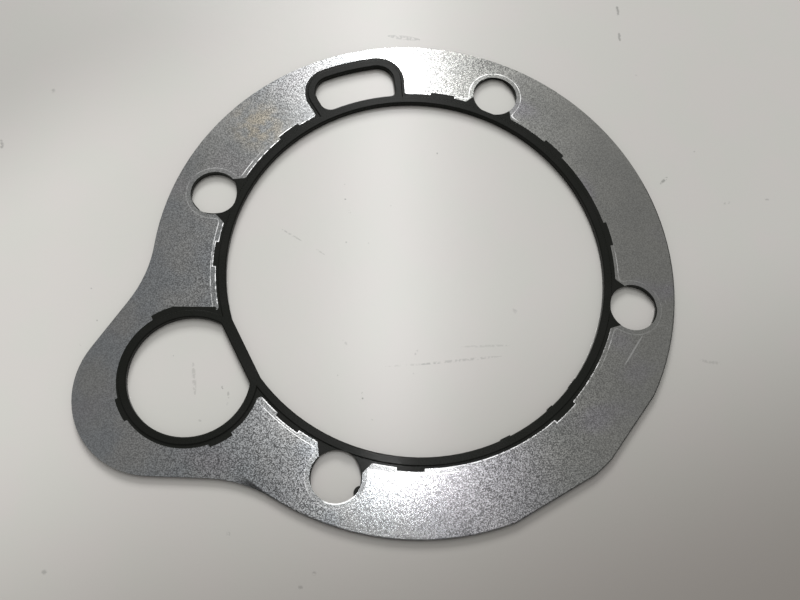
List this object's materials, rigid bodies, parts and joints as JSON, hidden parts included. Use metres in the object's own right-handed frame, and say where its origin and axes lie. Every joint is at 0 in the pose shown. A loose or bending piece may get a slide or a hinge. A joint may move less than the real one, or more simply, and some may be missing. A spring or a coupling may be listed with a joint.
{
  "type": "air compressor gasket",
  "caption": "Flat air compressor gasket: a stamped steel carrier sheet with a rubber seal moulded round its bore, its D-shaped port and its slot.",
  "frame": {"origin": "centre of the pilot bore on the gasket's middle plane", "axes": "+Z along the pilot bore, through the thickness; +X away from the ear, in the gasket's plane"},
  "size_m": [0.1649, 0.148, 0.002],
  "materials": {
    "steel": "matt zinc-grey sheet with a fine sparkling grain",
    "rubber": "moulded satin black"
  },
  "bodies": {
    "root": {"carrier_plate": "steel", "moulded_seal": "rubber"}
  },
  "joints": []
}
